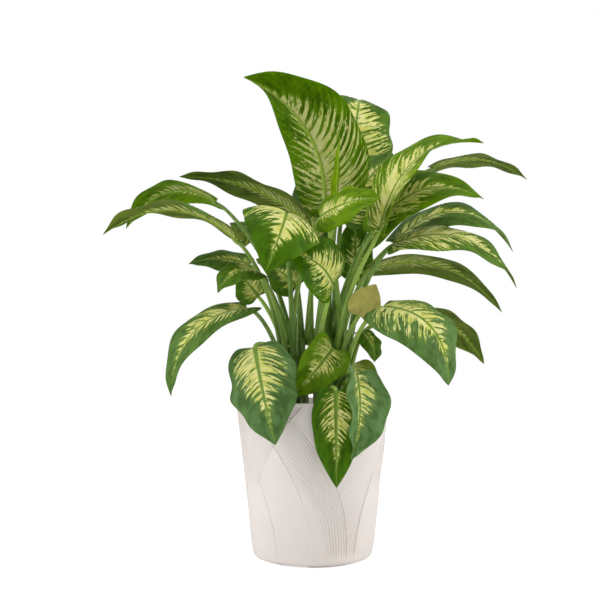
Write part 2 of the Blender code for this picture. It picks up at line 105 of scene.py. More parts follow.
# Lengths in mm, angles in degrees and colours in percent: cane and angle round it (None grows from the top), height
# of the stalk's foot, how straight up the stalk sets off, base and tip of the blade, how far the midrib arches, width,
# where the upper side looks (azimuth, elevation), fold of the halves about the midrib, curl of the margins, twist from
# base to tip, tone from grey green (0) through dark green (60) to lime (100), and how much of it is cream.
# The grey green of tones near 0 stands partly for painted sheen on leaves such as heart, rim_right and big_right.
LEAVES = {
    "crown": ("right", None, 318, 0.5, (21, 30, 556), (-108, -15, 738), 100, 190, (38, 15), 42, 30, -20, 60, 84),
    "crown_right": ("back_right", 80, 322, 0.5, (60, 92, 610), (87, 205, 770), 100, 150, (-80, 40), 10, 30, 0, 45, 80),
    "behind_right": ("back_right", 178, 315, 0.5, (45, 60, 530), (137, 85, 643), 20, 105, (-90, 20), 10, 20, 0, 30, 70),
    "behind_left": ("back_left", 25, 320, 0.5, (6, 108, 490), (-20, 125, 610), 15, 70, (-90, 10), 15, 20, 0, 10, 60),
    "lime": ("left", None, 318, 0.5, (11, -55, 508), (99, -95, 530), 20, 85, (-75, 35), 15, 20, 0, 84, 45),
    "drop": ("left", -75, 300, 0.55, (-41, -60, 512), (-66, -165, 412), 75, 130, (-62, 45), 10, 30, 0, 62, 98),
    "front": ("front", -90, 300, 0.5, (28, -64, 407), (-38, -90, 452), 40, 100, (-70, 20), 25, 20, 0, 60, 75),
    "upper_left": ("front", 130, 310, 0.5, (-11, 45, 522), (-217, 50, 594), 45, 88, (90, 72), 15, 20, 0, 25, 45),
    "long_left": ("left", 175, 300, 0.6, (-114, -30, 476), (-320, -30, 486), 86, 130, (180, 88), 20, 20, 0, 35, 45),
    "far_left": ("back_left", 155, 320, 0.55, (-155, 55, 553), (-308, 80, 513), 88, 100, (90, 80), 15, 20, 0, 75, 40),
    "side_left": ("back_left", -155, 285, 0.55, (-98, 30, 447), (-197, 30, 448), 20, 75, (-90, 55), 15, 20, 0, 25, 40),
    "low_side_left": ("left", -120, 295, 0.55, (-80, -45, 425), (-139, -80, 392), 40, 70, (-90, 60), 15, 20, 0, 45, 50),
    "ragged": ("left", 130, 290, 0.55, (-84, 12, 395), (-115, 18, 430), 10, 60, (-90, 20), 15, 20, 0, 45, 60),
    "low_left": ("left", -165, 262, 0.6, (-97, -50, 372), (-205, -80, 242), 80, 105, (-140, 35), 20, 20, 0, 25, 60),
    "heart": ("left", -110, 250, 0.7, (-83, -110, 313), (-52, -155, 180), 25, 112, (-100, 20), 5, 30, 0, 5, 62),
    "centre_fold": ("front", -60, 262, 0.6, (29, -50, 312), (-32, -95, 240), 30, 76, (-60, 25), 30, 0, 0, 75, 62),
    "hanging": ("front", -70, 235, 0.22, (31, -128, 252), (31, -135, 120), 10, 70, (-95, 5), 10, 20, 0, 60, 55),
    "rim_right": ("right", -100, 245, 0.22, (58, -128, 276), (49, -152, 160), 22, 96, (-42, 15), 33, 10, 0, 5, 42),
    "big_right": ("right", -60, 258, 0.6, (102, -70, 373), (192, -100, 258), 100, 115, (-70, 35), 10, 25, 0, 15, 75),
    "shade_right": ("back_right", -20, 270, 0.6, (150, 0, 368), (265, 0, 289), 50, 90, (60, 60), 10, 20, 0, 30, 35),
    "low_right": ("right", 30, 300, 0.6, (92, 18, 438), (297, 10, 369), 86, 85, (90, 75), 15, 20, 0, 30, 50),
    "bright_right": ("right", -35, 305, 0.6, (127, -28, 473), (310, -30, 404), 90, 108, (-90, 62), 15, 20, 0, 35, 90),
    "arch_right": ("back_right", 0, 310, 0.6, (134, 75, 488), (333, 75, 474), 125, 118, (-90, 60), 15, 20, 0, 30, 35),
    "rise_right": ("back_right", -45, 318, 0.6, (94, 5, 492), (267, -10, 545), 102, 112, (-105, 45), 15, 10, 0, 78, 82),
    "tall_right": ("right", -120, 310, 0.55, (103, -45, 494), (267, -20, 631), 100, 100, (-135, 50), 25, 10, 0, 80, 85),
    "far_right": ("back_right", None, 330, 0.55, (201, 90, 618), (360, 80, 596), 50, 80, (90, 88), 5, 10, 0, 30, 30),
    "old_yellow": ("right", -85, 285, 0.6, (70, -35, 362), (96, -35, 410), 6, 50, (-90, 15), 10, 10, 0, 35, 60),
    "curled": ("right", 0, 250, 0.35, (79, -6, 338), (94, -16, 292), 20, 45, (-60, 30), 30, 40, 0, 50, 30),
    "inner_right": ("back_right", 40, 300, 0.5, (72, 80, 435), (74, 98, 540), 10, 62, (-90, 10), 15, 20, 0, 50, 55),
    "inner_left": ("back_left", -100, 300, 0.5, (-25, 30, 412), (-72, 35, 447), 15, 70, (-90, 35), 15, 20, 0, 50, 50),
    "inner_mid": ("front", 90, 300, 0.5, (18, 4, 400), (24, 8, 465), 10, 28, (-90, 10), 15, 20, 0, 55, 30),
    "spear": ("front", None, 320, 0.5, (37, -4, 520), (43, -16, 640), 4, 34, (100, 5), 68, 0, 0, 100, 0),
    "rear": ("back_left", 75, 318, 0.6, (-30, 120, 455), (-55, 265, 420), 70, 120, (90, 70), 15, 20, 0, 35, 60),
    "rear_right": ("back_right", 72, 255, 0.35, (65, 120, 440), (95, 270, 430), 70, 115, (90, 70), 15, 20, 0, 35, 60),
    "rear_left": ("back_left", 115, 325, 0.6, (-65, 90, 500), (-120, 230, 505), 60, 115, (110, 70), 15, 20, 0, 35, 60),
    "rear_high": ("back_right", 120, 325, 0.55, (45, 125, 560), (55, 265, 600), 70, 120, (90, 70), 15, 20, 0, 35, 60),
    "rear_mid": ("back_right", 110, 262, 0.6, (30, 125, 340), (30, 260, 290), 60, 105, (90, 60), 15, 20, 0, 35, 60),
    "rear_rim_right": (
        "back_right", 15, 245, 0.6, (70, 140, 290), (85, 170, 160), 30, 100, (80, 20), 15, 25, 0, 35, 60
    ),
    "rear_rim_left": (
        "back_left", 120, 250, 0.6, (-55, 140, 285), (-75, 165, 150), 30, 105, (100, 20), 15, 25, 0, 35, 60
    ),
}
OLD_LEAF = "old_yellow"
YOUNG_TONE = 0.4  # leaves of this tone and over are young and glossy

# ---- detail of the looks

UPPER, UNDER, STALK = 0, 1, 2  # regions of a leaf
ROWS = 72  # rows of the blade from base to tip, each along a side vein
OUTER_COLUMNS = 13  # columns from the midrib to the margin
RIB_COLUMNS = (0.0, 0.35, 0.7, 1.0, 1.25)  # columns over the midrib, in its half widths
RIB_HALF_WIDTH = 0.0034
RIB_DEPTH = 0.0024  # how proud of the underside the midrib stands at its base
GROOVE_DEPTH = 0.0006
BLADE_HALF = 0.0004
MARGIN_HALF = 0.00012
VEIN_RAKE = 0.20
SIDE_VEINS = 20.0
FINE_VEINS = 44  # finer parallel veins drawn along a blade: real ones are about 1 mm apart, these about 4.5 mm
BLADE_MM = 200.0  # typical length of a blade, for the scale of its pattern
STALK_SIDES = 20
STALK_STEPS = 26
STALK_RUN = 0.05  # share of the blade that the stalk's end runs on under
STALK_SINK = 0.8  # how far that end lies under the blade, in its own radii
TYPICAL_WIDTH = 0.11  # of a blade, for the depth of its veins and rib
SHEATH_SHARE = 0.35  # how far up its stalk the sheath reaches
SHEATH_SWELL = 1.35
WALL_COLUMNS = 720  # steps round the planter's side, which carries the relief
WALL_ROWS = 116
EDGE_STEPS = 8  # steps over the planter's rounded edges
NURSERY_COLUMNS = 160
SOIL_COLUMNS = 120
PAD_COLUMNS = 48
LIP_ROUND = 0.0008
LIP_BEVEL = 0.0005
MOTIFS = 3  # times the relief's motif repeats round the planter
# The relief's edges, as angles in degrees at the planter's foot, seen from the front.
PANEL_ANGLE = 33.4
LEFT_EDGE = -35.0
RIGHT_EDGE = 40.0
RIGHT_EDGE_LOW = -62.0
MOTIF_END = 58.0
FAN_WIDTH = 40.0
HIGH_WIDTH = 24.0
# Heights: where the edges start, and where each part of the relief comes in or fades out.
RELIEF_FOOT = 0.011
RELIEF_RISES = (0.010, 0.024)
RELIEF_FADES = (0.226, 0.232)
HIGH_PANEL_FOOT = (0.105, 0.122)
HIGH_RIDGE_FOOT = (0.112, 0.126)
RIDGE_WIDTH = 0.9  # degrees from a ridge's top to where it ends
PANEL_SOFTNESS = 0.6  # degrees over which a panel's ribs begin
RIDGE_HEIGHT = 0.0013
RIB_HEIGHT = 0.0016
RIBS = 13
PANEL_LEAN = 1150.0  # degrees that an edge leans by for each square metre of height
GRANULE_DENSITY = 60000.0  # to a square metre
GRANULE_SIZE = 0.0026
GRANULE_SEED = 4
GRANULE_SPREAD = (0.35, 1.25)  # smallest and largest, in typical sizes
GRANULE_LUMPS = 0.9
CANE_STEPS = 110
CANE_SIDES = 32
SCAR_SPACING = 0.017
SCAR_HEIGHT = 0.0005
VEIN_DEPTH = 0.0006
MARGIN_WAVE = 0.003
FLOOR_SIZE = 30.0
FLOOR_GLOW = 0.72  # a lit white sweep, so that no horizon shows
CAMERA_PLACE = (-0.019, -1.29, 0.287)
CAMERA_TILT = 94.5  # degrees from straight down: a little above level
CAMERA_LENS = 50.0  # mm, on a 36 mm wide film
# Name, place, height aimed at, width of the soft disc, and power as a share of the key light's.
LIGHTS = (
    ("key", (-2.1, -0.7, 1.1), 0.35, 2.0, 1.0),
    ("side", (2.1, -0.6, 1.0), 0.35, 2.0, 1.0),
    ("top", (0.1, -0.5, 2.3), 0.40, 2.0, 0.5),
    ("back", (0.3, 2.0, 1.3), 0.40, 2.4, 0.4),
)


def linear(hex_colour):
    """Linear RGBA of an sRGB colour such as "#DCDC8C"."""
    values = [int(hex_colour[i : i + 2], 16) / 255 for i in (1, 3, 5)]
    return tuple(v / 12.92 if v <= 0.04045 else ((v + 0.055) / 1.055) ** 2.4 for v in values) + (1.0,)


# ---- node helpers


def set_inputs(node, values):
    """Joins or sets inputs of the node, by their names or places."""
    for key, value in values.items():
        if isinstance(value, bpy.types.NodeSocket):
            node.id_data.links.new(value, node.inputs[key])
        else:
            node.inputs[key].default_value = value


def add_node(tree, kind, *values, **settings):
    """Adds a node with its settings and links, and gives one of its outputs.

    A kind is the node's type, or its type with settings, the output wanted and the inputs that values go to in turn.
    """
    settings = {"out": 0, **({"type": kind} if isinstance(kind, str) else kind), **settings}
    node, out = tree.nodes.new(settings.pop("type")), settings.pop("out")
    places = settings.pop("places", range(len(values)))
    for name, value in settings.items():
        setattr(node, name, value)
    set_inputs(node, values[0] if values and isinstance(values[0], dict) else dict(zip(places, values)))
    return node.outputs[out]


MATH = {"type": "ShaderNodeMath"}
ADD, SUBTRACT, MULTIPLY, MULTIPLY_ADD, ABSOLUTE, SINE, SIGN = (
    {**MATH, "operation": word}
    for word in ("ADD", "SUBTRACT", "MULTIPLY", "MULTIPLY_ADD", "ABSOLUTE", "SINE", "SIGN")
)
VECTOR = {"type": "ShaderNodeVectorMath"}
# Value, low, high: from 0 at low to 1 at high, or from and to the two values after them.
RANGE = {"type": "ShaderNodeMapRange"}
SMOOTH = {**RANGE, "interpolation_type": "SMOOTHSTEP"}
# Share of the second colour, first colour, second colour.
MIX = {"type": "ShaderNodeMix", "data_type": "RGBA", "places": (0, 6, 7), "out": 2}
NOISE = {"type": "ShaderNodeTexNoise", "places": ("Vector", "Scale", "Detail", "Roughness")}
BUMP = {"type": "ShaderNodeBump", "places": ("Height", "Distance", "Strength")}
ATTRIBUTE = {"type": "ShaderNodeAttribute", "out": "Fac"}
NAMED = "GeometryNodeInputNamedAttribute"


def per_metre(millimetres):
    """Noise scale, in Object coordinates, of a pattern with features this big."""
    return 1000.0 / millimetres


def new_material(name):
    """A Principled material: itself, its shader, its Object coordinates, and what adds a node to it."""
    material = bpy.data.materials.new(name)
    material.use_nodes = True
    add = functools.partial(add_node, material.node_tree)
    return material, material.node_tree.nodes["Principled BSDF"], add("ShaderNodeTexCoord", out="Object"), add


# ---- materials


def leaf_material(name, settings, underside, specular, roughness):
    """Blade of a leaf: green with a splash of cream that follows the side veins and breaks up towards the margin."""
    material, shader, place, add = new_material(name)
    names = ("share", "across", "vein", "tone", "splash", "seed", "rib")
    share, side, vein, tone, splash, seed, rib = (add(ATTRIBUTE, attribute_name=word) for word in names)
    across = add(ABSOLUTE, side)

    def along_veins(size, spread, shift):
        """Coordinates that stretch a pattern out along the side veins.

        Size is its pitch in mm along the midrib, and spread how many times it changes from there to the margin.
        """
        half = add(MULTIPLY, side, spread)
        turned = add(ADD, seed, shift)
        values = {"X": add(MULTIPLY, vein, BLADE_MM / size), "Y": half, "Z": turned}
        return add("ShaderNodeCombineXYZ", values)

    # How far the cream fingers reach out from the midrib: long or short by the vein, less towards the tip.
    rise = add(SMOOTH, share, -0.06, 0.14)
    fall = add(SMOOTH, share, 0.30, 0.98, 1.0, 0.0)
    reach = add(MULTIPLY, add(MULTIPLY, rise, fall), splash)
    turn = add(MULTIPLY_ADD, vein, 2 * math.pi * SIDE_VEINS, add(MULTIPLY, add(SIGN, side), 0.9))
    beat = add(MULTIPLY, add(SINE, turn), 0.16 if underside else 0.07)
    finger = add(ADD, add(NOISE, along_veins(6.7, 1.1, 0.0), 1.0, 2.0, 0.6), beat)
    finger = add(SMOOTH, finger, 0.36, 0.66)
    feather = add(SUBTRACT, add(NOISE, along_veins(2.5, 6.0, 7.0), 1.0, 2.0, 0.6), 0.5)
    length = add(MULTIPLY, reach, add(MULTIPLY_ADD, finger, 1.05, 0.12))
    edge = add(MULTIPLY_ADD, feather, 0.42, length)
    cream = add(SMOOTH, add(SUBTRACT, edge, across), -0.03, 0.03)
    # Flecks of green left in the cream, more of them near its ends.
    fleck = add(NOISE, along_veins(4.5, 3.0, 13.0), 1.0, 3.0, 0.65)
    fleck = add(MULTIPLY_ADD, across, 0.10, fleck)
    cream = add(MULTIPLY, cream, add(SMOOTH, fleck, 0.575, 0.615, 1.0, 0.0))
    # Sparse cream flecks beyond the splash.
    stray = add(NOISE, along_veins(3.3, 5.0, 23.0), 1.0, 2.0, 0.5)
    near = add(SMOOTH, add(SUBTRACT, add(MULTIPLY, reach, 1.35), across), 0.0, 0.2)
    stray = add(MULTIPLY, add(SMOOTH, stray, 0.62, 0.66), near)
    cream = add(MATH, cream, stray, operation="MAXIMUM")

    green = add("ShaderNodeValToRGB", {"Fac": tone})
    ramp = green.node.color_ramp.elements
    # The grey green at the lowest tones is partly the leaf's own colour and partly painted sheen: the pale bluish haze
    # of light reflected off leaves that face up.
    stops = [(0.0, linear("#5E7F4C")), (0.35, linear("#587824")), (0.6, settings.green), (1.0, settings.lime)]
    if underside:
        stops = [(0.0, linear("#6C7C4A")), (0.35, linear("#6C7C2C")), (0.6, linear("#527600")), (1.0, settings.lime)]
    while len(ramp) < len(stops):
        ramp.new(0.5)
    for element, (at, colour) in zip(ramp, stops):
        element.position = at
        element.color = colour
    mottle = add(NOISE, along_veins(22.0, 2.2, 31.0), 1.0, 3.0, 0.6)
    shade = add(MIX, 1.0, green, linear("#C0C8B0"), blend_type="MULTIPLY")
    green = add(MIX, add(SMOOTH, mottle, 0.40, 0.66), green, shade)
    # A yellow-green border where cream meets green.
    border = add(SMOOTH, add(SUBTRACT, add(ADD, edge, 0.12), across), -0.06, 0.10)
    green = add(MIX, add(MULTIPLY, border, 0.45), green, linear("#8DA63A"))
    pale = linear("#C6C886") if underside else settings.cream
    warm = linear("#AEB65E") if underside else linear("#CCCF66")
    tint = add(MIX, add(SMOOTH, add(NOISE, along_veins(17.0, 3.0, 43.0), 1.0, 2.0), 0.35, 0.7), pale, warm)
    colour = add(MIX, cream, green, tint)
    # The midrib: a green line on top, a pale rib beneath.
    rib = add(SMOOTH, rib, 0.75, 1.15, 1.0, 0.0)
    line = add(MIX, 0.35, linear("#93B43C"), green) if underside else add(MIX, 0.6, linear("#5E8F35"), green)
    colour = add(MIX, add(MULTIPLY, rib, 0.92), colour, line)
    gloss = add(NOISE, place, per_metre(11.0), 2.0)
    rough = add(RANGE, {"Value": gloss, "To Min": roughness - 0.06, "To Max": roughness + 0.06})
    # The skin's grain is drawn at 1.4 mm: its real cells are under 0.1 mm.
    cells = add(NOISE, place, per_metre(1.4), 2.0)
    veins = add(SINE, add(MULTIPLY, vein, 2 * math.pi * FINE_VEINS))
    height = add(MULTIPLY_ADD, cells, 0.35, add(MULTIPLY, veins, 0.4))
    set_inputs(shader, {
        "Base Color": colour,
        "Roughness": rough,
        "Specular IOR Level": specular,
        "Subsurface Weight": 0.14,
        "Subsurface Radius": (0.6, 1.0, 0.25),
        "Subsurface Scale": 0.003,
        "Normal": add(BUMP, height, 0.00010, 0.3),
    })
    return material


def stalk_material(settings):
    """Leaf stalk: smooth pale green, darker towards the foot, with fine lengthwise streaks."""
    material, shader, place, add = new_material("smooth_leaf_stalk")
    stretched = add("ShaderNodeMapping", {"Vector": place, "Scale": (1.0, 1.0, 0.08)})
    streaks = add(NOISE, stretched, per_metre(2.4), 3.0)
    foot = add(SMOOTH, add(ATTRIBUTE, attribute_name="along"), 0.0, 0.55)
    green = add(MIX, foot, linear("#72982A"), settings.stalk)
    green = add(MIX, add(MULTIPLY, add(ATTRIBUTE, attribute_name="dark"), 0.65), green, linear("#42701C"))
    colour = add(MIX, add(SMOOTH, streaks, 0.45, 0.75), green, linear("#A2BE63"))
    set_inputs(shader, {
        "Base Color": colour,
        "Roughness": 0.42,
        "Subsurface Weight": 0.12,
        "Subsurface Radius": (0.6, 1.0, 0.25),
        "Subsurface Scale": 0.004,
        "Normal": add(BUMP, streaks, 0.0002, 0.5),
    })
    return material


def old_leaf_material():
    """A dying leaf: yellow, with tan blotches and dull greenish veins."""
    material, shader, place, add = new_material("papery_old_leaf")
    blotch = add(NOISE, place, per_metre(14.0), 4.0, 0.6)
    colour = add(MIX, add(SMOOTH, blotch, 0.35, 0.7), linear("#C0B75C"), linear("#A3A04A"))
    veins = add(SINE, add(MULTIPLY, add(ATTRIBUTE, attribute_name="vein"), 2 * math.pi * 14))
    colour = add(MIX, add(SMOOTH, veins, 0.7, 1.0), colour, linear("#A6A14F"))
    set_inputs(shader, {
        "Base Color": colour,
        "Roughness": 0.55,
        "Normal": add(BUMP, add(NOISE, place, per_metre(2.0), 3.0), 0.0003, 0.6),
    })
    return material


def cane_material():
    """Fleshy cane: green, browner at the soil, with pale scars where old leaves were.

    Its skin is grained at 2.6 mm, where the real pores are about 1 mm apart.
    """
    material, shader, place, add = new_material("fleshy_cane")
    z = add("ShaderNodeSeparateXYZ", place, out=2)
    up = add(SMOOTH, z, SOIL_TOP_Z, SOIL_TOP_Z + 0.10)
    green = add(MIX, up, linear("#4B5A22"), linear("#5F8A2C"))
    mottle = add(NOISE, place, per_metre(6.0), 4.0, 0.6)
    colour = add(MIX, add(SMOOTH, mottle, 0.5, 0.72), green, linear("#8A9A4C"))
    scars = add(SMOOTH, add(ATTRIBUTE, attribute_name="scar"), 0.35, 0.9)
    colour = add(MIX, add(MULTIPLY, scars, 0.7), colour, linear("#8E7B4E"))
    set_inputs(shader, {
        "Base Color": colour,
        "Roughness": 0.5,
        "Normal": add(BUMP, add(NOISE, place, per_metre(2.6), 3.0), 0.0004, 0.6),
    })
    return material


def planter_material(settings):
    """Matt off-white moulded plastic, very slightly grained: at 0.6 mm, where the real grain is about 0.1 mm."""
    material, shader, place, add = new_material("moulded_matt_polypropylene")
    cloud = add(NOISE, place, per_metre(140.0), 3.0)
    colour = add(MIX, add(SMOOTH, cloud, 0.3, 0.7), settings.colour, linear("#E3DAD4"))
    set_inputs(shader, {
        "Base Color": colour,
        "Roughness": 0.52,
        "Specular IOR Level": 0.4,
        "Normal": add(BUMP, add(NOISE, place, per_metre(0.6), 2.0), 0.00005, 0.5),
    })
    return material


def nursery_material():
    """Thin black plastic with a dull, scuffed surface, grained at 1.1 mm where the real grain is about 0.2 mm."""
    material, shader, place, add = new_material("thin_black_polypropylene")
    scuff = add(NOISE, place, per_metre(17.0), 4.0, 0.7)
    colour = add(MIX, add(SMOOTH, scuff, 0.4, 0.8), linear("#17181A"), linear("#2A2B2D"))
    rough = add(RANGE, {"Value": scuff, "To Min": 0.42, "To Max": 0.65})
    set_inputs(shader, {
        "Base Color": colour,
        "Roughness": rough,
        "Normal": add(BUMP, add(NOISE, place, per_metre(1.1), 2.0), 0.00008, 0.5),
    })
    return material


def soil_material(settings):
    """Damp peat: near black brown, with paler fibre crumbs."""
    material, shader, place, add = new_material("damp_peat")
    crumbs = add(NOISE, place, per_metre(3.0), 4.0, 0.7)
    dark = add(MIX, add(SMOOTH, crumbs, 0.35, 0.65), linear("#1E1510"), settings.colour)
    fibre = add(NOISE, place, per_metre(7.0), 2.0)
    colour = add(MIX, add(SMOOTH, fibre, 0.66, 0.74), dark, linear("#6B5238"))
    set_inputs(shader, {"Base Color": colour, "Roughness": 0.92, "Normal": add(BUMP, crumbs, 0.0015, 0.9)})
    return material


def floor_material():
    """Seamless white studio floor."""
    material, shader, place, add = new_material("studio_floor")
    grain = add(NOISE, place, per_metre(330.0), 1.0)
    colour = add(MIX, add(SMOOTH, grain, 0.3, 0.7), linear("#FFFFFF"), linear("#FDFDFD"))
    direct = add("ShaderNodeLightPath", out="Is Camera Ray")
    set_inputs(shader, {
        "Base Color": colour,
        "Roughness": 0.9,
        "Specular IOR Level": 0.1,
        "Emission Color": (1.0, 1.0, 1.0, 1.0),
        "Emission Strength": add(MULTIPLY, direct, FLOOR_GLOW),
    })
    return material


# ---- mesh helpers


def mesh_object(name, points, faces, material=None, edges=()):
    mesh = bpy.data.meshes.new(name)
    mesh.from_pydata([tuple(p) for p in points], edges, faces)
    if material is not None:
        mesh.materials.append(material)
    mesh.polygons.foreach_set("use_smooth", [True] * len(mesh.polygons))
    obj = bpy.data.objects.new(name, mesh)
    bpy.context.scene.collection.objects.link(obj)
    return obj


def set_attribute(obj, name, values, kind="FLOAT", domain="POINT"):
    layer = obj.data.attributes.new(name, kind, domain)
    layer.data.foreach_set("value" if kind == "FLOAT" else "vector", np.asarray(values, np.float32).ravel())


def face_outwards(obj):
    shape = bmesh.new()
    shape.from_mesh(obj.data)
    bmesh.ops.recalc_face_normals(shape, faces=shape.faces[:])
    shape.to_mesh(obj.data)
    shape.free()


def finish_piece(obj, node):
    """The piece stands for one node of the part and moves with it."""
    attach(obj, "root")
    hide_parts(node)


def bake_modifiers(obj):
    """Replaces the mesh by what its modifiers make of it."""
    graph = bpy.context.evaluated_depsgraph_get()
    mesh = bpy.data.meshes.new_from_object(obj.evaluated_get(graph), depsgraph=graph)
    obj.modifiers.clear()
    old = obj.data
    obj.data = mesh
    mesh.name = obj.name
    bpy.data.meshes.remove(old)


def ring_faces(rings, columns):
    """Faces between rings of points, each ring closed on itself."""
    faces = []
    for i in range(rings - 1):
        for j in range(columns):
            k = (j + 1) % columns
            low = i * columns
            faces.append((low + j, low + k, low + columns + k, low + columns + j))
    return faces


# ---- geometry node helpers


SOCKETS = {float: "NodeSocketFloat", int: "NodeSocketInt", type(None): "NodeSocketMaterial"}


def new_group(name, **inputs):
    """A geometry group with named inputs: itself, what the inputs give, its end, and what adds a node to it.

    A float or a whole number is an input's default, and an input with none takes a material.
    """
    tree = bpy.data.node_groups.new(name, "GeometryNodeTree")
    tree.interface.new_socket("Geometry", in_out="INPUT", socket_type="NodeSocketGeometry")
    tree.interface.new_socket("Geometry", in_out="OUTPUT", socket_type="NodeSocketGeometry")
    for word, default in inputs.items():
        socket = tree.interface.new_socket(word, in_out="INPUT", socket_type=SOCKETS[type(default)])
        if default is not None:
            socket.default_value = default
    given = tree.nodes.new("NodeGroupInput").outputs
    return tree, given, tree.nodes.new("NodeGroupOutput"), functools.partial(add_node, tree)


def end_group(end, add, geometry, material):
    """Makes the instances real, gives them their material and hands them to the end of the group."""
    real = add("GeometryNodeRealizeInstances", geometry)
    set_inputs(end, {0: add("GeometryNodeSetMaterial", {"Geometry": real, "Material": material})})


def add_geometry_modifier(obj, tree, **inputs):
    """Adds the group as a modifier, with its inputs set by their sockets' identifiers."""
    modifier = obj.modifiers.new(tree.name, "NODES")
    modifier.node_group = tree
    for item in tree.interface.items_tree:
        if item.item_type == "SOCKET" and item.in_out == "INPUT" and item.name in inputs:
            modifier[item.identifier] = inputs[item.name]


# ---- planter


def planter_radius(z):
    return POT_BASE_RADIUS + (POT_TOP_RADIUS - POT_BASE_RADIUS) * z / POT_HEIGHT


def nursery_radius(z):
    floor = POT_FLOOR + FOOT_HEIGHT
    share = (z - floor) / (NURSERY_RIM_Z - floor)
    return NURSERY_BASE_RADIUS + (NURSERY_TOP_RADIUS - NURSERY_BASE_RADIUS) * share


def arc(centre, radius, start, end, steps):
    angles = np.radians(np.linspace(start, end, steps + 1))
    return [(centre[0] + radius * math.cos(a), centre[1] + radius * math.sin(a)) for a in angles]


def turned(name, profile, columns, material):
    """A closed solid turned about Z. The profile starts and ends on the axis, outside first."""
    angles = np.linspace(0, 2 * math.pi, columns, endpoint=False)
    inner = profile[1:-1]
    points = [(r * math.cos(a), r * math.sin(a), z) for r, z in inner for a in angles]
    faces = ring_faces(len(inner), columns)
    for (_, z), ring in ((profile[0], 0), (profile[-1], len(inner) - 1)):
        points.append((0.0, 0.0, z))
        low = ring * columns
        faces += [(low + j, low + (j + 1) % columns, len(points) - 1) for j in range(columns)]
    obj = mesh_object(name, points, faces, material)
    face_outwards(obj)
    return obj


def relief_group():
    """Raises petal panels, ridges and fine ribs on the planter's side, by angle round it and height."""
    sizes = {"Ridge height": RIDGE_HEIGHT, "Rib height": RIB_HEIGHT, "Ribs": RIBS, "Lean": PANEL_LEAN}
    tree, given, end, add = new_group("planter_relief", Material=None, **sizes)
    position = add("GeometryNodeInputPosition")
    x, y, z = add("ShaderNodeSeparateXYZ", position, out=slice(3))
    angle = add(MATH, add(MATH, x, add(MULTIPLY, y, -1.0), operation="ARCTAN2"), operation="DEGREES")
    angle = add(MATH, angle, MOTIF_END, MOTIF_END - 360.0 / MOTIFS, operation="WRAP")
    low = add(SUBTRACT, z, RELIEF_FOOT)
    bend = add(MULTIPLY, add(MULTIPLY, low, low), given["Lean"])
    left = add(ADD, angle, bend)  # constant along an edge that leans left
    right = add(SUBTRACT, angle, bend)  # constant along one that leans right

    def ridge(value, at):
        """1 on the line where value equals at, falling to 0 beside it."""
        distance = add(ABSOLUTE, add(SUBTRACT, value, at))
        return add(SMOOTH, distance, 0.0, RIDGE_WIDTH, 1.0, 0.0)

    def between(value, low, high):
        """1 from low to high, falling to 0 beyond them."""
        inside = add(SMOOTH, value, low - PANEL_SOFTNESS, low + PANEL_SOFTNESS)
        return add(MULTIPLY, inside, add(SMOOTH, value, high - PANEL_SOFTNESS, high + PANEL_SOFTNESS, 1.0, 0.0))

    def ribs(value, at):
        """Fine ribs parallel to an edge."""
        turns = add(MULTIPLY, add(SUBTRACT, value, at), given["Ribs"])
        wave = add(MATH, add(MULTIPLY, turns, 2 * math.pi / PANEL_ANGLE), operation="COSINE")
        return add(MULTIPLY_ADD, wave, 0.5, -0.5)

    left_1, left_2, left_3 = (LEFT_EDGE + PANEL_ANGLE * i for i in range(3))
    upper = add(SMOOTH, add(SUBTRACT, RIGHT_EDGE_LOW, right), -0.4, 0.4)  # on the far side of the low right edge
    total = None

    def lift(value, scale):
        nonlocal total
        scaled = add(MULTIPLY, value, scale)
        total = scaled if total is None else add(ADD, total, scaled)

    heights, rib_height = given["Ridge height"], given["Rib height"]
    below = add(SUBTRACT, 1.0, upper)
    lift(add(MULTIPLY, ridge(left, left_1), below), heights)
    lift(ridge(left, left_2), heights)
    lift(add(MULTIPLY, ridge(left, left_3), 0.6), heights)
    # The panel between the middle edges: ribs that grow towards its right edge and run the full height.
    grow = add(SMOOTH, add(MULTIPLY_ADD, low, 70.0, add(SUBTRACT, left, left_2)), 6.0, 20.0)
    main = add(MULTIPLY, between(left, left_2 + 1.0, left_3), grow)
    lift(add(MULTIPLY, main, ribs(left, left_3)), rib_height)
    # The panel to its right leans the other way and ends at its own edge.
    beyond = add(SMOOTH, left, left_3 - 0.3, left_3 + 0.8)
    fan = add(MULTIPLY, between(right, RIGHT_EDGE - FAN_WIDTH, RIGHT_EDGE), beyond)
    lift(add(MULTIPLY, fan, ribs(right, RIGHT_EDGE)), add(MULTIPLY, rib_height, 0.8))
    lift(add(MULTIPLY, ridge(right, RIGHT_EDGE), beyond), heights)
    # The high panel at the left, ribbed, which lies over the lower ones.
    high = add(MULTIPLY, between(right, RIGHT_EDGE_LOW - HIGH_WIDTH, RIGHT_EDGE_LOW), add(SMOOTH, z, *HIGH_PANEL_FOOT))
    lift(add(MULTIPLY, high, ribs(right, RIGHT_EDGE_LOW)), rib_height)
    lift(add(MULTIPLY, ridge(right, RIGHT_EDGE_LOW), add(SMOOTH, z, *HIGH_RIDGE_FOOT)), heights)
    # The relief dies away at the rim and where the side turns under, and only the outside has it.
    fade = add(MULTIPLY, add(SMOOTH, z, *RELIEF_RISES), add(SMOOTH, z, *RELIEF_FADES, 1.0, 0.0))
    outside = add(NAMED, {"Name": "outside"}, data_type="FLOAT")
    total = add(MULTIPLY, add(MULTIPLY, total, fade), outside)
    outward = add("ShaderNodeCombineXYZ", {"X": x, "Y": y})
    outward = add(VECTOR, outward, operation="NORMALIZE")
    offset = add(VECTOR, {0: outward, "Scale": total}, operation="SCALE")
    moved = add("GeometryNodeSetPosition", {"Geometry": given["Geometry"], "Offset": offset})
    end_group(end, add, moved, given["Material"])
    return tree


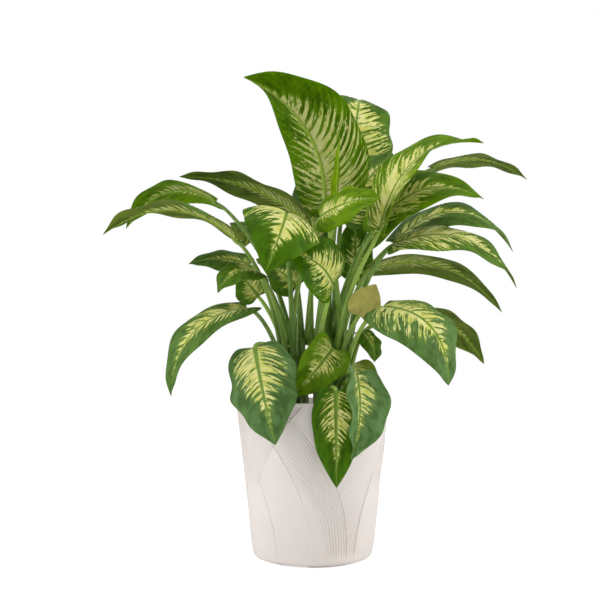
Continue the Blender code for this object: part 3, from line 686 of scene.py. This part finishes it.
def planter_profile():
    """The planter's outline from axis to axis, in four runs: beneath, side, rim and inside."""
    edge_centre = (planter_radius(FOOT_HEIGHT + POT_EDGE) - POT_EDGE, FOOT_HEIGHT + POT_EDGE)
    rim_centre = (POT_TOP_RADIUS - POT_WALL / 2, POT_HEIGHT - POT_WALL / 2)
    under = [(0.0, FOOT_HEIGHT), (edge_centre[0] * 0.5, FOOT_HEIGHT)]
    under += arc(edge_centre, POT_EDGE, -90.0, 0.0, EDGE_STEPS)
    heights = np.linspace(edge_centre[1], rim_centre[1], WALL_ROWS)[1:-1]
    side = [(planter_radius(z), z) for z in heights]
    rim = arc(rim_centre, POT_WALL / 2, 0.0, 180.0, EDGE_STEPS)
    floor = FOOT_HEIGHT + POT_FLOOR
    inside = [(planter_radius(floor) - POT_WALL, floor), (0.0, floor)]
    return under, side, rim, inside


def foot_arcs(material):
    """The foot ring in arcs, and the pad in the middle of the base."""
    inner, outer, top = FOOT_INNER_RADIUS, FOOT_OUTER_RADIUS, FOOT_HEIGHT + FOOT_SUNK
    section = ((inner, 0.0), (outer, 0.0), (outer, top), (inner, top))
    middle = (inner + outer) / 2
    half_gap = math.degrees(math.asin(FOOT_GAP_WIDTH / 2 / middle))
    shapes = []
    for start, end in zip(FOOT_GAP_ANGLES, FOOT_GAP_ANGLES[1:] + (FOOT_GAP_ANGLES[0] + 360.0,)):
        angles = np.radians(np.linspace(start + half_gap, end - half_gap, 40))
        points = [(radius * math.cos(a), radius * math.sin(a), z) for a in angles for radius, z in section]
        faces = ring_faces(len(angles), 4) + [(0, 1, 2, 3), tuple(len(points) - 4 + k for k in (3, 2, 1, 0))]
        shapes.append(mesh_object("foot_arc", points, faces, material))
    pad = [(0.0, top), (FOOT_PAD_RADIUS, top), (FOOT_PAD_RADIUS, 0.0), (0.0, 0.0)]
    shapes.append(turned("foot_pad", pad, PAD_COLUMNS, material))
    for shape in shapes:
        face_outwards(shape)
        shape.data.polygons.foreach_set("use_smooth", [False] * len(shape.data.polygons))
    return shapes


def join(target, others):
    with bpy.context.temp_override(active_object=target, selected_editable_objects=[target, *others]):
        bpy.ops.object.join()


class PLANT_OT_planter(bpy.types.Operator):
    """Build the embossed planter on its foot arcs"""

    bl_idname = "plant.planter"
    bl_label = "Planter"

    def execute(self, context):
        settings = context.scene.planter_settings
        material = planter_material(settings)
        under, side, rim, inside = planter_profile()
        profile = under + side + rim + inside
        obj = turned("planter_look", profile, WALL_COLUMNS, material)
        rows = len(profile) - 2
        outer = len(under) + len(side) - 1
        flags = np.repeat((np.arange(rows) < outer).astype(np.float32), WALL_COLUMNS)
        set_attribute(obj, "outside", np.concatenate([flags, [0.0, 0.0]]))
        sizes = {"Ridge height": settings.ridge_height, "Rib height": settings.rib_height, "Ribs": settings.ribs}
        add_geometry_modifier(obj, relief_group(), Material=material, **sizes)
        bake_modifiers(obj)
        obj.data.attributes.remove(obj.data.attributes["outside"])
        join(obj, foot_arcs(material))
        finish_piece(obj, "planter")
        return {"FINISHED"}


class PLANT_OT_nursery_pot(bpy.types.Operator):
    """Build the black nursery pot inside the planter"""

    bl_idname = "plant.nursery_pot"
    bl_label = "Nursery pot"

    def execute(self, context):
        floor = FOOT_HEIGHT + POT_FLOOR + GAP
        lip_z = NURSERY_RIM_Z - NURSERY_LIP_HEIGHT
        lip = NURSERY_TOP_RADIUS + NURSERY_LIP
        profile = [(0.0, floor), (nursery_radius(floor), floor), (nursery_radius(lip_z), lip_z)]
        profile += [(nursery_radius(lip_z) + NURSERY_LIP, lip_z)]
        profile += arc((lip - LIP_ROUND, NURSERY_RIM_Z - LIP_ROUND), LIP_ROUND, 0.0, 90.0, 4)
        profile += [(NURSERY_TOP_RADIUS - NURSERY_WALL + LIP_BEVEL, NURSERY_RIM_Z)]
        profile += [(NURSERY_TOP_RADIUS - NURSERY_WALL, NURSERY_RIM_Z - LIP_BEVEL)]
        profile += [(nursery_radius(floor) - NURSERY_WALL, floor + NURSERY_WALL), (0.0, floor + NURSERY_WALL)]
        obj = turned("nursery_pot_look", profile, NURSERY_COLUMNS, nursery_material())
        obj.data.set_sharp_from_angle(angle=math.radians(40))
        finish_piece(obj, "nursery_pot")
        return {"FINISHED"}


# ---- soil and canes


def cane_point(name, z):
    (foot_x, foot_y), (top_x, top_y, top_z) = CANES[name]
    share = (z - SOIL_TOP_Z) / (top_z - SOIL_TOP_Z)
    return np.array([foot_x + (top_x - foot_x) * share, foot_y + (top_y - foot_y) * share, z])


def granule_group(material):
    """Scatters rough granules over the top of the soil."""
    sizes = {"Density": GRANULE_DENSITY, "Granule": GRANULE_SIZE, "Seed": GRANULE_SEED}
    tree, given, end, add = new_group("soil_granules", **sizes)
    up = add("ShaderNodeSeparateXYZ", add("GeometryNodeInputNormal"), out=2)
    z = add("ShaderNodeSeparateXYZ", add("GeometryNodeInputPosition"), out=2)
    limits = ((up, 0.5), (z, SOIL_TOP_Z - 0.02))
    top = add(MULTIPLY, *(add(MATH, value, limit, operation="GREATER_THAN") for value, limit in limits))
    seed = given["Seed"]
    values = {"Mesh": given["Geometry"], "Selection": top, "Density": given["Density"], "Seed": seed}
    points = add("GeometryNodeDistributePointsOnFaces", values)
    ball = add("GeometryNodeMeshIcoSphere", {"Radius": 0.5, "Subdivisions": 1})
    bumpy = add(NOISE, {"Scale": 3.1, "Detail": 2.0}, out="Color")
    lump = add(VECTOR, bumpy, (0.5, 0.5, 0.5), operation="SUBTRACT")
    lump = add(VECTOR, {0: lump, "Scale": GRANULE_LUMPS}, operation="SCALE")
    ball = add("GeometryNodeSetPosition", {"Geometry": ball, "Offset": lump})
    tilt = add("FunctionNodeRandomValue", {1: (6.28, 6.28, 6.28), "Seed": seed}, data_type="FLOAT_VECTOR")
    low, high = GRANULE_SPREAD
    size = add("FunctionNodeRandomValue", {2: low, 3: high, "Seed": seed}, data_type="FLOAT", out=1)
    size = add(MULTIPLY, size, given["Granule"])
    values = {"Points": points, "Instance": ball, "Rotation": tilt, "Scale": size}
    placed = add("GeometryNodeInstanceOnPoints", values)
    both = add("GeometryNodeJoinGeometry", given["Geometry"])
    set_inputs(both.node, {0: placed})
    end_group(end, add, both, material)
    return tree


class PLANT_OT_soil(bpy.types.Operator):
    """Build the soil, with granules over its top"""

    bl_idname = "plant.soil"
    bl_label = "Soil"

    def execute(self, context):
        settings = context.scene.soil_settings
        material = soil_material(settings)
        bottom = FOOT_HEIGHT + POT_FLOOR + 2 * GAP + NURSERY_WALL
        inset = NURSERY_WALL + 2 * GAP
        edge_z = SOIL_TOP_Z - SOIL_CROWN
        profile = [(0.0, bottom), (nursery_radius(bottom) - inset, bottom), (nursery_radius(edge_z) - inset, edge_z)]
        for share in np.linspace(0.95, 0.05, 12):
            ripple = 0.0006 * math.sin(37.0 * share)
            profile.append((share * (nursery_radius(edge_z) - inset), SOIL_TOP_Z - SOIL_CROWN * share**2 + ripple))
        profile.append((0.0, SOIL_TOP_Z))
        obj = turned("soil_look", profile, SOIL_COLUMNS, material)
        sizes = {"Density": settings.density, "Granule": settings.granule, "Seed": settings.seed}
        add_geometry_modifier(obj, granule_group(material), **sizes)
        bake_modifiers(obj)
        finish_piece(obj, "soil")
        return {"FINISHED"}


def cane_group():
    """Turns a line into a cane that swells at each leaf scar."""
    sizes = {"Radius": CANE_RADIUS, "Scar spacing": SCAR_SPACING, "Scar height": SCAR_HEIGHT}
    tree, given, end, add = new_group("cane", Material=None, **sizes)
    line = add("GeometryNodeMeshToCurve", {"Mesh": given["Geometry"]})
    line = add("GeometryNodeResampleCurve", {"Curve": line, "Count": CANE_STEPS})
    length = add("GeometryNodeSplineParameter", out="Length")
    turn = add(MATH, length, given["Scar spacing"], operation="DIVIDE")
    saw = add(ABSOLUTE, add(SUBTRACT, add(MATH, turn, operation="FRACT"), 0.5))
    scar = add(SMOOTH, saw, 0.40, 0.5)
    stored = {"Geometry": line, "Name": "scar", "Value": scar}
    line = add("GeometryNodeStoreNamedAttribute", stored, data_type="FLOAT", domain="POINT")
    radius = add(MULTIPLY_ADD, scar, given["Scar height"], given["Radius"])
    ring = add("GeometryNodeCurvePrimitiveCircle", {"Resolution": CANE_SIDES, "Radius": 1.0})
    values = {"Curve": line, "Profile Curve": ring, "Scale": radius, "Fill Caps": True}
    tube = add("GeometryNodeCurveToMesh", values)
    tube = add("GeometryNodeSetShadeSmooth", {"Geometry": tube})
    end_group(end, add, tube, given["Material"])
    return tree


class PLANT_OT_canes(bpy.types.Operator):
    """Build the canes, with a scar ring at each old leaf"""

    bl_idname = "plant.canes"
    bl_label = "Canes"

    def execute(self, context):
        material = cane_material()
        group = cane_group()
        for name, (_, top) in CANES.items():
            low = cane_point(name, SOIL_TOP_Z - CANE_BURIED)
            obj = mesh_object(f"cane_{name}_look", [low, top], [], edges=[(0, 1)])
            add_geometry_modifier(obj, group, Radius=CANE_RADIUS, Material=material)
            bake_modifiers(obj)
            face_outwards(obj)
            finish_piece(obj, f"cane_{name}")
        return {"FINISHED"}


# ---- leaves


def unit(vector):
    return vector / max(1e-12, float(np.linalg.norm(vector)))


def bezier(points, t):
    """The point at t on the Bezier curve with these control points."""
    while len(points) > 1:
        points = [(1 - t) * a + t * b for a, b in zip(points, points[1:])]
    return points[0]


def direction(azimuth, elevation):
    azimuth, elevation = math.radians(azimuth), math.radians(elevation)
    flat = math.cos(elevation)
    return np.array([flat * math.cos(azimuth), flat * math.sin(azimuth), math.sin(elevation)])


def carry(normal, along):
    """The normal turned as little as makes it square to this direction."""
    return unit(normal - along * float(np.dot(normal, along)))


def outline(share):
    """Half width of the blade at this share of its length, 1 at the widest."""
    widest = ROUND_BASE / (ROUND_BASE + ROUND_TIP)
    return (share / widest) ** ROUND_BASE * ((1 - share) / (1 - widest)) ** ROUND_TIP


def vein_place(share, across):
    """Where along the blade the side vein through this point leaves the midrib: veins sweep towards the tip."""
    return share - VEIN_RAKE * np.abs(across) ** 1.2 * (1 - 0.6 * share)


def lobe(share):
    return LOBE * (share / LOBE_AT) * np.exp(1 - share / LOBE_AT)


class Leaf:
    """The midrib as a curve with a frame at each step, and points of the blade from it."""

    def __init__(self, name):
        for column, value in zip(COLUMNS, LEAVES[name]):
            setattr(self, column, value)
        self.height, self.arch, self.width = self.height / 1000, self.arch / 1000, self.width / 1000
        self.tone, self.cream = self.tone / 100, self.cream / 100
        self.base, self.tip = np.array(self.base) / 1000, np.array(self.tip) / 1000
        chord = unit(self.tip - self.base)
        up = carry(direction(*self.face), chord)
        midrib = [self.base, (self.base + self.tip) / 2 + up * self.arch, self.tip]
        steps = np.linspace(0.0, 1.0, MIDRIB_STEPS + 1)
        self.points = np.array([bezier(midrib, t) for t in steps])
        slopes = [midrib[1] - midrib[0], midrib[2] - midrib[1]]
        self.along = np.array([unit(bezier(slopes, t)) for t in steps])
        spans = np.linalg.norm(np.diff(self.points, axis=0), axis=1)
        self.run = np.concatenate([[0.0], np.cumsum(spans)])
        self.length = float(self.run[-1])
        middle = MIDRIB_STEPS // 2
        normals = np.zeros_like(self.points)
        normals[middle] = carry(up, self.along[middle])
        for i in range(middle + 1, MIDRIB_STEPS + 1):
            normals[i] = carry(normals[i - 1], self.along[i])
        for i in range(middle - 1, -1, -1):
            normals[i] = carry(normals[i + 1], self.along[i])
        sides = np.cross(self.along, normals)
        turn = np.radians(self.twist) * (self.run / self.length - 0.5)[:, None]
        self.normals = normals * np.cos(turn) + sides * np.sin(turn)
        self.sides = sides * np.cos(turn) - normals * np.sin(turn)

    def foot(self):
        centre = cane_point(self.cane, self.height)
        if self.azimuth is None:
            return centre + np.array([0.0, 0.0, STALK_GAP])
        return centre + (CANE_RADIUS + STALK_FOOT_RADIUS + STALK_GAP) * direction(self.azimuth, 0.0)

    def at(self, reach):
        """Positions, normals and side directions this far along the midrib, straight on behind its start."""
        ahead = np.maximum(reach, 0.0)
        found = []
        for values in (self.points, self.normals, self.sides):
            found.append(np.stack([np.interp(ahead, self.run, values[:, k]) for k in range(3)], -1))
        centre = found[0] + self.along[0] * np.minimum(reach, 0.0)[..., None]
        normal = found[1] / np.linalg.norm(found[1], axis=-1, keepdims=True)
        side = found[2] / np.linalg.norm(found[2], axis=-1, keepdims=True)
        return centre, normal, side

    def blade(self, share, across):
        """Middle layer of the blade and its normals, for arrays of share and across (-1 to 1)."""
        half = self.width / 2 * outline(share)
        out = np.abs(across) * half
        start = self.length * share**VEIN_SWEEP
        end = self.length * (share - lobe(share))
        centre, normal, side = self.at(start + (end - start) * np.abs(across) ** VEIN_BOW)
        fold = math.radians(self.fold)
        rate = math.radians(self.curl * 4) / self.width + 1e-6
        level = (np.sin(fold) - np.sin(fold - rate * out)) / rate
        rise = (np.cos(fold - rate * out) - np.cos(fold)) / rate
        angle = (fold - rate * out)[..., None]
        sign = np.sign(across)[..., None]
        point = centre + side * sign * level[..., None] + normal * rise[..., None]
        return point, normal * np.cos(angle) - side * sign * np.sin(angle)


def vein_group():
    """Corrugates a blade along its side veins and waves its margin, along the normals kept in the mesh."""
    sizes = {"Veins": SIDE_VEINS, "Vein depth": VEIN_DEPTH, "Wave": MARGIN_WAVE, "Phase": 0.0}
    looks = {"Stalk": None, "Upper side": None, "Underside": None}
    tree, given, end, add = new_group("leaf_veins", **sizes, **looks)

    def named(word, kind="FLOAT"):
        return add(NAMED, {"Name": word}, data_type=kind)

    share, side, vein = named("share"), named("across"), named("vein")
    across = add(ABSOLUTE, side)
    turn = add(MULTIPLY, add(MULTIPLY, vein, given["Veins"]), 2 * math.pi)
    offset_turn = add(MULTIPLY_ADD, add(SIGN, side), 0.9, turn)
    ripple = add(MULTIPLY, add(SINE, offset_turn), given["Vein depth"])
    body = add(MULTIPLY, add(SMOOTH, across, 0.0, 0.25), add(SMOOTH, across, 0.75, 1.0, 1.0, 0.0))
    ripple = add(MULTIPLY, ripple, body)
    slow = add(MULTIPLY_ADD, share, 17.0, given["Phase"])
    slow = add(MULTIPLY_ADD, add(SIGN, side), 1.3, slow)
    wave = add(MULTIPLY, add(SINE, slow), given["Wave"])
    wave = add(MULTIPLY, wave, add(MATH, across, 2.5, operation="POWER"))
    ends = add(MULTIPLY, add(SMOOTH, share, 0.02, 0.2), add(SMOOTH, share, 0.85, 1.0, 1.0, 0.0))
    total = add(MULTIPLY, add(ADD, ripple, wave), ends)
    values = {0: named("blade_normal", "FLOAT_VECTOR"), "Scale": total}
    offset = add(VECTOR, values, operation="SCALE")
    moved = add("GeometryNodeSetPosition", {"Geometry": given["Geometry"], "Offset": offset})
    leaf = add("GeometryNodeRealizeInstances", moved)
    region = named("region")
    for number, word in ((STALK, "Stalk"), (UPPER, "Upper side"), (UNDER, "Underside")):
        chosen = add(MATH, region, float(number), 0.5, operation="COMPARE")
        dressed = {"Geometry": leaf, "Selection": True if number == STALK else chosen, "Material": given[word]}
        leaf = add("GeometryNodeSetMaterial", dressed)
    set_inputs(end, {0: leaf})
    return tree


def blade_mesh(leaf, seed):
    """Points, faces, the region of each face and attributes of the closed blade."""
    t = np.linspace(0.0, 1.0, ROWS)
    share = 0.004 + 0.992 * (0.45 * t + 0.55 * (0.5 - 0.5 * np.cos(math.pi * t)))
    half = leaf.width / 2 * outline(share)
    rib_width = np.minimum(RIB_HALF_WIDTH * (1 - share) ** 0.7 + 0.0003, half * 0.45)
    inner = np.array(RIB_COLUMNS)[None, :] * rib_width[:, None] / half[:, None]
    steps = np.linspace(0.0, 1.0, OUTER_COLUMNS + 1)[1:] ** 0.9
    outer = inner[:, -1:] + (1 - inner[:, -1:]) * steps[None, :]
    right = np.concatenate([inner, outer], 1)
    across = np.concatenate([-right[:, :0:-1], right], 1)
    shares = np.repeat(share[:, None], across.shape[1], 1)
    point, normal = leaf.blade(shares, across)
    distance = np.abs(across) * half[:, None] / rib_width[:, None]
    thickness = MARGIN_HALF + (BLADE_HALF - MARGIN_HALF) * (1 - np.abs(across) ** 3)
    dome = np.sqrt(np.clip(1 - distance**2, 0.0, 1.0))
    size = np.minimum(1.0, leaf.width / TYPICAL_WIDTH) * (1 - share[:, None]) ** 0.6
    top = point + normal * (thickness - GROOVE_DEPTH * size * dome)[..., None]
    under = point - normal * (thickness + RIB_DEPTH * size * dome)[..., None]
    rows, columns = across.shape
    grid = np.arange(rows * columns).reshape(rows, columns)
    a, b = grid[:-1, :-1].ravel(), grid[:-1, 1:].ravel()
    c, d = grid[1:, 1:].ravel(), grid[1:, :-1].ravel()
    count = rows * columns
    upper = np.stack([a, b, c, d], 1)
    lower = np.stack([d, c, b, a], 1) + count
    rim = []
    loop = list(grid[0, :]) + list(grid[1:, -1]) + list(grid[-1, -2::-1]) + list(grid[-2:0:-1, 0])
    for i, first in enumerate(loop):
        second = loop[(i + 1) % len(loop)]
        rim.append((second, first, first + count, second + count))
    faces = [tuple(int(v) for v in face) for face in (*upper, *lower, *rim)]
    regions = [UPPER] * len(upper) + [UNDER] * (len(lower) + len(rim))
    values = {
        "share": np.tile(shares.ravel(), 2),
        "across": np.tile(across.ravel(), 2),
        "vein": np.tile(vein_place(shares, across).ravel(), 2),
        "rib": np.tile(distance.ravel(), 2),
        "tone": np.full(2 * count, leaf.tone),
        "splash": np.full(2 * count, leaf.cream),
        "seed": np.full(2 * count, seed * 17.3),
        "blade_normal": np.tile(normal.reshape(-1, 3), (2, 1)),
    }
    points = np.concatenate([top.reshape(-1, 3), under.reshape(-1, 3)])
    return points, faces, regions, values


def stalk_mesh(leaf):
    """Points, faces and the share along the stalk: a tube from inside the cane to under the blade's base."""
    foot = leaf.foot()
    reach = float(np.linalg.norm(leaf.base - foot))
    lean = (leaf.base - foot) * np.array([STALK_LEAN, STALK_LEAN, 0.0])
    rise = np.array([0.0, 0.0, leaf.bend * reach])
    stalk = [foot, foot + lean + rise, leaf.base - leaf.along[0] * STALK_TURN * reach, leaf.base]
    slopes = [b - a for a, b in zip(stalk, stalk[1:])]
    normal = leaf.normals[0]
    rings, alongs = [], []
    for i in range(4, 0, -1):  # the end runs on under the blade and sinks into its midrib
        beyond = leaf.length * STALK_RUN * i / 4
        centre, up, side = (v[0] for v in leaf.at(np.array([beyond])))
        radius = STALK_END_RADIUS * (1 - 0.55 * (i / 4) ** 2)
        rings.append((centre - up * STALK_END_RADIUS * STALK_SINK, up, side, radius))
        alongs.append(1.0)
    for i in range(STALK_STEPS, -1, -1):
        t = i / STALK_STEPS
        along = unit(bezier(slopes, t))
        normal = carry(normal, along)
        side = np.cross(along, normal)
        radius = STALK_FOOT_RADIUS + (STALK_END_RADIUS - STALK_FOOT_RADIUS) * t
        swell = SHEATH_SWELL - 1
        radius *= 1 + swell * max(0.0, 1 - t / SHEATH_SHARE) ** 1.5
        sink = normal * STALK_END_RADIUS * STALK_SINK * max(0.0, (t - 0.8) / 0.2) ** 2
        rings.append((bezier(stalk, t) - sink, normal, side, radius))
        alongs.append(t)
    rings.reverse()
    alongs.reverse()
    points, values = [], []
    for (centre, up, side, radius), t in zip(rings, alongs):
        for k in range(STALK_SIDES):
            angle = 2 * math.pi * k / STALK_SIDES
            channel = 1 - 0.22 * max(0.0, math.sin(angle)) ** 6 * (1 - 0.5 * t)
            points.append(centre + radius * channel * (math.cos(angle) * side + math.sin(angle) * up))
            values.append(t)
    faces = ring_faces(len(rings), STALK_SIDES)
    faces.append(tuple(range(STALK_SIDES))[::-1])
    faces.append(tuple(range(len(points) - STALK_SIDES, len(points))))
    return points, faces, values


class PLANT_OT_leaves(bpy.types.Operator):
    """Build every leaf from its stalk's foot to its tip"""

    bl_idname = "plant.leaves"
    bl_label = "Leaves"

    def execute(self, context):
        settings = context.scene.leaf_settings
        waxy = leaf_material("waxy_mature_leaf", settings, False, 0.12, 0.58)
        fresh = leaf_material("glossy_young_leaf", settings, False, 0.10, 0.50)
        lower = leaf_material("dull_leaf_underside", settings, True, 0.04, 0.62)
        stalk_green, old = stalk_material(settings), old_leaf_material()
        group = vein_group()
        for number, name in enumerate(LEAVES):
            leaf = Leaf(name)
            is_old = name == OLD_LEAF
            upper = old if is_old else fresh if leaf.tone >= YOUNG_TONE else waxy
            points, faces, regions, values = blade_mesh(leaf, number)
            stalk_points, stalk_faces, along = stalk_mesh(leaf)
            first = len(points)
            all_points = np.concatenate([points, np.array(stalk_points)])
            faces = faces + [tuple(v + first for v in face) for face in stalk_faces]
            obj = mesh_object(f"leaf_{name}_look", all_points, faces)
            set_attribute(obj, "region", regions + [STALK] * len(stalk_faces), domain="FACE")
            extra = len(stalk_points)
            for word, numbers in values.items():
                kind = "FLOAT_VECTOR" if word == "blade_normal" else "FLOAT"
                width = 3 if kind == "FLOAT_VECTOR" else 1
                set_attribute(obj, word, np.concatenate([numbers.ravel(), np.zeros(extra * width)]), kind)
            set_attribute(obj, "along", np.concatenate([np.ones(first), along]))
            dark = 1.0 if number % 4 == 1 else 0.25 * (number % 3)
            set_attribute(obj, "dark", np.full(first + extra, dark))
            size = leaf.width / TYPICAL_WIDTH
            wave = settings.wave * size * (0.6 + 0.8 * ((number * 37) % 10) / 10)
            sizes = {"Veins": settings.veins, "Vein depth": settings.vein_depth * size, "Wave": wave}
            looks = {"Stalk": stalk_green, "Upper side": upper, "Underside": old if is_old else lower}
            add_geometry_modifier(obj, group, Phase=number * 1.7, **sizes, **looks)
            bake_modifiers(obj)
            for word in ("blade_normal", "region"):
                obj.data.attributes.remove(obj.data.attributes[word])
            face_outwards(obj)
            finish_piece(obj, f"leaf_{name}")
        return {"FINISHED"}


# ---- stage


def aim(obj, target):
    way = np.array(target) - np.array(obj.location)
    flat = math.hypot(way[0], way[1])
    obj.rotation_euler = (math.atan2(flat, -way[2]), 0.0, math.atan2(way[1], way[0]) - math.pi / 2)


def add_light(name, place, target, size, power):
    light = bpy.data.lights.new(name, "AREA")
    light.shape = "DISK"
    light.size = size
    light.energy = power
    obj = bpy.data.objects.new(name, light)
    bpy.context.scene.collection.objects.link(obj)
    obj.location = place
    aim(obj, target)


class PLANT_OT_stage(bpy.types.Operator):
    """Set the floor, the soft lights, the surroundings and the camera"""

    bl_idname = "plant.stage"
    bl_label = "Stage"

    def execute(self, context):
        scene = context.scene
        settings = scene.stage_settings
        bpy.ops.mesh.primitive_plane_add(size=FLOOR_SIZE, location=(0.0, 0.0, 0.0))
        floor = context.object
        floor.name = "floor"
        floor.data.materials.append(floor_material())
        world = bpy.data.worlds.new("studio")
        scene.world = world
        world.use_nodes = True
        sky = world.node_tree.nodes["Background"]
        direct = add_node(world.node_tree, "ShaderNodeLightPath", out="Is Camera Ray")
        lit = {"Value": direct, "To Min": settings.surroundings, "To Max": 1.0}
        strength = add_node(world.node_tree, RANGE, lit)
        set_inputs(sky, {"Color": (1.0, 1.0, 1.0, 1.0), "Strength": strength})
        for name, place, height, size, share in LIGHTS:
            add_light(name, place, (0.0, 0.0, height), size, settings.key * share)
        camera = bpy.data.cameras.new("camera")
        camera.lens = CAMERA_LENS
        obj = bpy.data.objects.new("camera", camera)
        scene.collection.objects.link(obj)
        obj.location = CAMERA_PLACE
        obj.rotation_euler = (math.radians(CAMERA_TILT), 0.0, 0.0)
        scene.camera = obj
        scene.view_settings.view_transform = "Standard"
        return {"FINISHED"}


# ---- settings and panel


def colour_setting(name, description, hex_colour):
    return FloatVectorProperty(
        name=name, description=description, default=linear(hex_colour), size=4, min=0.0, max=1.0, subtype="COLOR"
    )


def length_setting(name, description, metres):
    return FloatProperty(name=name, description=description, default=metres, min=0.0, unit="LENGTH")


class PlanterSettings(bpy.types.PropertyGroup):
    colour: colour_setting("Colour", "Colour of the planter", "#EBE3DF")
    ridge_height: length_setting("Ridge height", "Height of the raised panel edges", RIDGE_HEIGHT)
    rib_height: length_setting("Rib height", "Height of the fine ribs in a panel", RIB_HEIGHT)
    ribs: IntProperty(name="Ribs", description="Fine ribs across one panel", default=RIBS, min=2)


class SoilSettings(bpy.types.PropertyGroup):
    colour: colour_setting("Colour", "Colour of the crumbs of soil", "#3A2A1E")
    density: FloatProperty(
        name="Granules", description="Granules to a square metre", default=GRANULE_DENSITY, min=0.0
    )
    granule: length_setting("Granule size", "Typical size of a granule", GRANULE_SIZE)
    seed: IntProperty(name="Seed", description="Changes where the granules lie", default=GRANULE_SEED)


class LeafSettings(bpy.types.PropertyGroup):
    green: colour_setting("Green", "Green of a mature leaf", "#436B00")
    lime: colour_setting("Lime", "Green of the youngest leaf", "#7CA000")
    cream: colour_setting("Cream", "Palest colour of the splash along the midrib", "#E0DE93")
    stalk: colour_setting("Stalk", "Green of a stalk where it meets its blade", "#98B944")
    veins: FloatProperty(
        name="Side veins", description="Side veins on each half of a blade", default=SIDE_VEINS, min=4.0
    )
    vein_depth: length_setting("Vein depth", "Depth of the folds along the side veins", VEIN_DEPTH)
    wave: length_setting("Margin wave", "How far the margin waves", MARGIN_WAVE)


class StageSettings(bpy.types.PropertyGroup):
    key: FloatProperty(name="Key light", description="Power of the main light", default=27.5, unit="POWER")
    surroundings: FloatProperty(
        name="Surroundings", description="Brightness of the white surroundings", default=0.40
    )


GROUPS = (
    ("planter_settings", PlanterSettings),
    ("soil_settings", SoilSettings),
    ("leaf_settings", LeafSettings),
    ("stage_settings", StageSettings),
)
OPERATORS = (
    PLANT_OT_planter,
    PLANT_OT_nursery_pot,
    PLANT_OT_soil,
    PLANT_OT_canes,
    PLANT_OT_leaves,
    PLANT_OT_stage,
)


class PLANT_PT_panel(bpy.types.Panel):
    """The plant's settings and what builds each piece"""

    bl_idname = "PLANT_PT_panel"
    bl_label = "Potted dieffenbachia"
    bl_space_type = "VIEW_3D"
    bl_region_type = "UI"
    bl_category = "Plant"

    def draw(self, context):
        for name, group in GROUPS:
            settings = getattr(context.scene, name)
            for field in group.__annotations__:
                self.layout.prop(settings, field)
        for operator in OPERATORS:
            self.layout.operator(operator.bl_idname)


def register():
    for name, group in GROUPS:
        bpy.utils.register_class(group)
        setattr(bpy.types.Scene, name, PointerProperty(type=group))
    for operator in OPERATORS:
        bpy.utils.register_class(operator)
    bpy.utils.register_class(PLANT_PT_panel)


def unregister():
    bpy.utils.unregister_class(PLANT_PT_panel)
    for operator in reversed(OPERATORS):
        bpy.utils.unregister_class(operator)
    for name, group in reversed(GROUPS):
        delattr(bpy.types.Scene, name)
        bpy.utils.unregister_class(group)


def main():
    register()
    for operator in OPERATORS:
        namespace, action = operator.bl_idname.split(".")
        getattr(getattr(bpy.ops, namespace), action)()
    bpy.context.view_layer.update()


if __name__ == "__main__":
    main()
